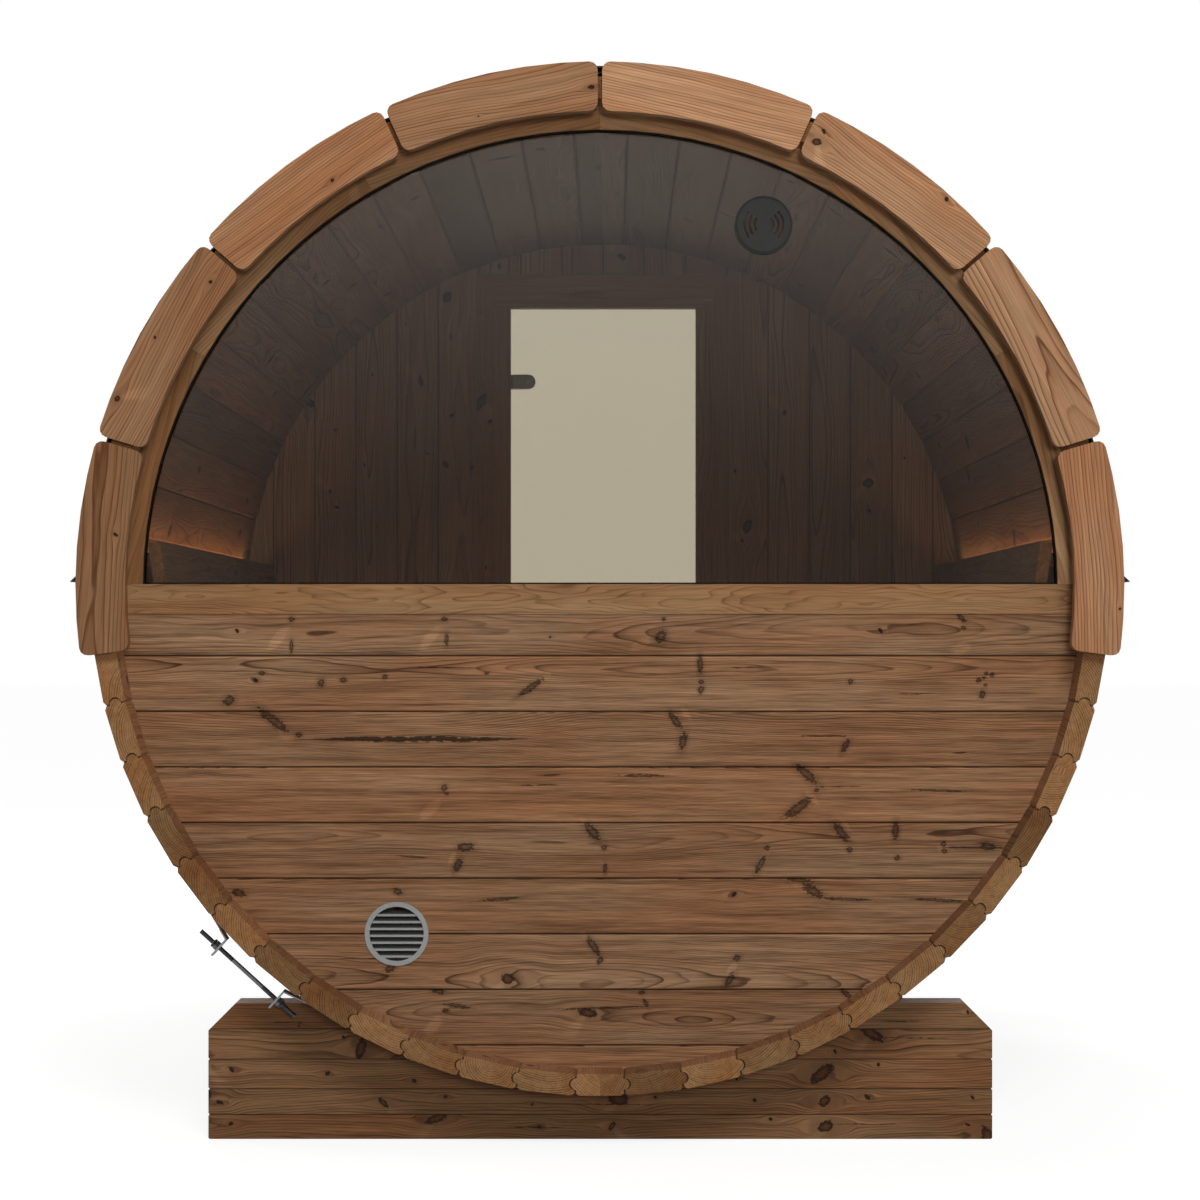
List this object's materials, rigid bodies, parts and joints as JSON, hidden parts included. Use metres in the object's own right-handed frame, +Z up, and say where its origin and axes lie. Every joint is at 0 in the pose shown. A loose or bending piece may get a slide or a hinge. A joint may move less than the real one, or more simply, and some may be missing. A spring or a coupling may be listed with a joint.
{
  "type": "barrel sauna",
  "caption": "Barrel sauna of wooden staves on two cradles, half-round end window, glass door, shingle roof, benches with backrests.",
  "frame": {"origin": "on the ground under the middle of the barrel", "axes": "+Y along the barrel, from the window end to the door end; +Z up; +X to the right seen from the window end"},
  "size_m": [2.0446, 2.3566, 2.1031],
  "materials": {
    "staves": "planed thermo-treated softwood, oiled",
    "wall_boards": "planed thermo-treated boards",
    "frames": "smooth planed, oiled",
    "trim": "planed, oiled",
    "roofing": "mineral-faced bitumen shingle",
    "dark_metal": "black coated sheet",
    "band_steel": "brushed stainless",
    "cradle_wood": "planed, oiled",
    "window_pane": "tinted toughened glass",
    "door_pane": "clear toughened glass",
    "vent_black": "satin black",
    "vent_grey": "grey coated",
    "hinge_metal": "brushed",
    "handle_wood": "turned, oiled",
    "inside_wood": "planed thermo-treated, unoiled",
    "light": "frosted diffuser"
  },
  "bodies": {
    "shell": {"staves_floor": "staves", "stave_crown": "staves", "staves_lower_left": "staves", "staves_middle_left": "staves", "staves_upper_left": "staves", "staves_lower_right": "staves", "staves_middle_right": "staves", "staves_upper_right": "staves", "window_wall_boards": "wall_boards", "door_wall_left": "wall_boards", "door_wall_right": "wall_boards", "door_wall_over": "wall_boards", "door_wall_under": "wall_boards", "window_ring": "frames", "window_rail": "frames", "door_frame": "frames", "door_casing_outer": "frames", "door_casing_inner": "frames", "window_end_trim": "trim", "door_end_trim": "trim", "roof_shingles_left": "roofing", "roof_shingles_right": "roofing", "ridge_cap": "roofing", "drip_edges": "dark_metal", "band_window_end": "band_steel", "band_door_end": "band_steel", "tension_rods": "band_steel", "cradle_window_end": "cradle_wood", "cradle_door_end": "cradle_wood", "window_glass": "window_pane", "glass_vent": "vent_black", "louvre_vent": "vent_grey", "door_hinge_frames": "hinge_metal", "floor_slats": "inside_wood", "floor_bearers": "inside_wood", "bench_left": "inside_wood", "bench_right": "inside_wood", "bench_supports": "inside_wood", "backrest_left": "inside_wood", "backrest_right": "inside_wood", "backrest_brackets": "inside_wood", "light_strips": "light"},
    "door": {"door_glass": "door_pane", "door_handles": "handle_wood", "door_hinge_clamps": "hinge_metal"}
  },
  "joints": [
    {"name": "door_hinge", "type": "hinge", "parent": "shell", "child": "door", "pos_m": [-0.266, 1.082, 1.096], "axis": [0, 0, 1], "range_deg": [0, 100]}
  ]
}
